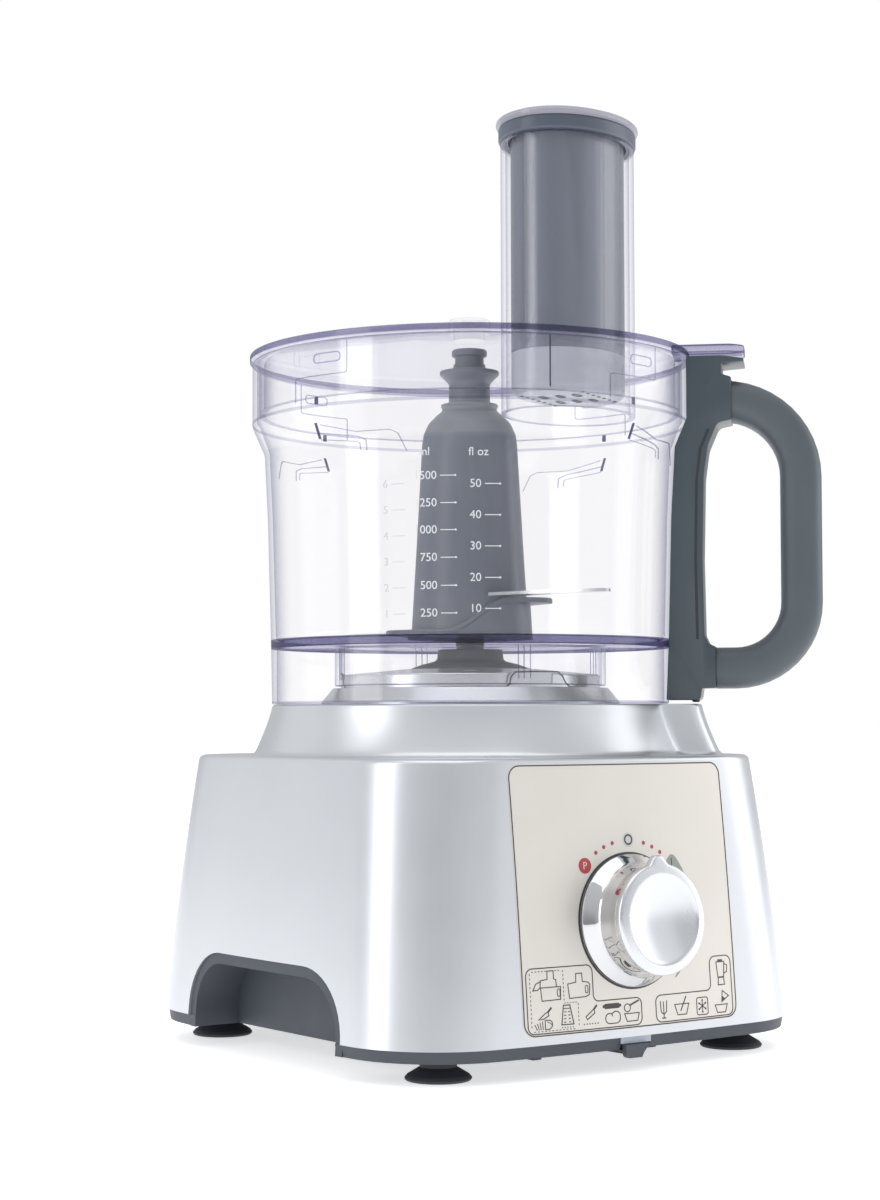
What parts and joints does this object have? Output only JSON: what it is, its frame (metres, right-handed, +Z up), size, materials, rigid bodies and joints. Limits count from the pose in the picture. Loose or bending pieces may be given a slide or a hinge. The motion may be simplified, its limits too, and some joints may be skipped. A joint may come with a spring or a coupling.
{
  "type": "food processor",
  "caption": "Countertop food processor: square motor base with a speed knob, clear bowl with side handle, clear lid with feed tube and pusher, and a twin-blade knife.",
  "frame": {"origin": "middle of the whole object's footprint, on the surface that the feet stand on", "axes": "+Z up, -Y out of the control panel, +X to the right of someone facing the panel; the bowl's axis is upright at x -0.8 mm, y 8.8 mm"},
  "size_m": [0.2273, 0.2467, 0.41],
  "materials": {
    "silver_casing": "satin silver lacquer",
    "slate_plastic": "fine-grained slate plastic",
    "champagne_panel": "fine brushed champagne",
    "foot_rubber": "dull black",
    "clear_plastic": "clear with blue-violet edges",
    "hub_plastic": "satin grey",
    "pusher_plastic": "glossy grey-blue",
    "chrome_trim": "polished",
    "cap_silver": "satin silver",
    "blade_steel": "ground steel",
    "machine_steel": "machined",
    "laminated_iron": "stacked sheet",
    "copper": "enamelled wire and copper bars",
    "carbon": "carbon block",
    "board_green": "coated board",
    "nylon": "natural nylon",
    "belt_rubber": "ribbed belt",
    "label_grey": "pale insert",
    "display_glass": "dark window",
    "key_grey": "soft key"
  },
  "bodies": {
    "base": {"base_housing": "silver_casing", "base_tray": "slate_plastic", "control_panel": "champagne_panel", "bowl_seat": "silver_casing", "load_cells": "machine_steel", "cord_gland": "foot_rubber", "motor_stator": "laminated_iron", "motor_windings": "copper", "motor_lower_frame": "machine_steel", "motor_upper_frame": "machine_steel", "motor_lower_bearing": "machine_steel", "motor_upper_bearing": "machine_steel", "carbon_brushes": "carbon", "motor_tie_bolts": "machine_steel", "spindle_housing": "machine_steel", "spindle_lower_bearing": "machine_steel", "spindle_upper_bearing": "machine_steel", "drive_belt": "belt_rubber", "circuit_board": "board_green", "rotary_switch": "nylon", "base_screws": "machine_steel", "pull_label": "label_grey", "foot_front_left": "foot_rubber", "foot_front_right": "foot_rubber", "foot_rear_left": "foot_rubber", "foot_rear_right": "foot_rubber"},
    "spindle": {"driven_pulley": "nylon", "drive_spindle": "machine_steel", "drive_coupling": "nylon"},
    "rotor": {"motor_shaft": "machine_steel", "armature": "laminated_iron", "commutator": "copper", "cooling_fan": "nylon", "motor_pulley": "machine_steel"},
    "knob": {"knob_collar": "chrome_trim", "knob_cap": "cap_silver", "knob_shaft": "nylon"},
    "display": {"display_drawer": "slate_plastic", "display_window": "display_glass"},
    "zero_key": {"zero_key": "key_grey"},
    "unit_key": {"unit_key": "key_grey"},
    "bowl": {"bowl": "clear_plastic", "handle_bracket": "slate_plastic", "handle_grip": "slate_plastic"},
    "interlock_rod": {"interlock_rod": "nylon"},
    "knife": {"knife_hub": "hub_plastic", "lower_blade": "blade_steel", "upper_blade": "blade_steel", "drive_post": "hub_plastic"},
    "lid": {"lid": "clear_plastic"},
    "pusher": {"pusher_body": "pusher_plastic", "pusher_collar": "slate_plastic", "pusher_cap": "clear_plastic"}
  },
  "joints": [
    {"name": "rotor_spin", "type": "hinge", "parent": "base", "child": "rotor", "pos_m": [0.0432, 0.0508, 0.06], "axis": [0, 0, 1], "continuous": true},
    {"name": "spindle_spin", "type": "hinge", "parent": "base", "child": "spindle", "pos_m": [-0.0008, 0.0088, 0.06], "axis": [0, 0, 1], "continuous": true},
    {"name": "knob_turn", "type": "hinge", "parent": "base", "child": "knob", "pos_m": [-0.0008, -0.10115, 0.0608], "axis": [0, -0.9961, 0.088], "range_deg": [-135, 45]},
    {"name": "display_slide", "type": "slide", "parent": "base", "child": "display", "axis": [0, -1, 0], "range_m": [0, 0.045]},
    {"name": "zero_key_press", "type": "slide", "parent": "display", "child": "zero_key", "axis": [0, 0, -1], "range_m": [0, 0.0006], "stiffness_N_per_m": 300},
    {"name": "unit_key_press", "type": "slide", "parent": "display", "child": "unit_key", "axis": [0, 0, -1], "range_m": [0, 0.0006], "stiffness_N_per_m": 300},
    {"name": "bowl_lift", "type": "slide", "parent": "base", "child": "bowl", "axis": [0, 0, 1], "range_m": [0, 0.16]},
    {"name": "interlock_press", "type": "slide", "parent": "bowl", "child": "interlock_rod", "axis": [0, 0, -1], "range_m": [0, 0.003], "stiffness_N_per_m": 300},
    {"name": "knife_spin", "type": "hinge", "parent": "bowl", "child": "knife", "pos_m": [-0.0008, 0.0088, 0.2], "axis": [0, 0, 1], "continuous": true},
    {"name": "lid_lift", "type": "slide", "parent": "bowl", "child": "lid", "axis": [0, 0, 1], "range_m": [0, 0.12]},
    {"name": "pusher_lift", "type": "slide", "parent": "lid", "child": "pusher", "axis": [0, 0, 1], "range_m": [0, 0.11]}
  ],
  "couplings": [
    {"joint": "spindle_spin", "follows": "rotor_spin", "ratio": 0.21053},
    {"joint": "knife_spin", "follows": "rotor_spin", "ratio": 0.21053}
  ]
}
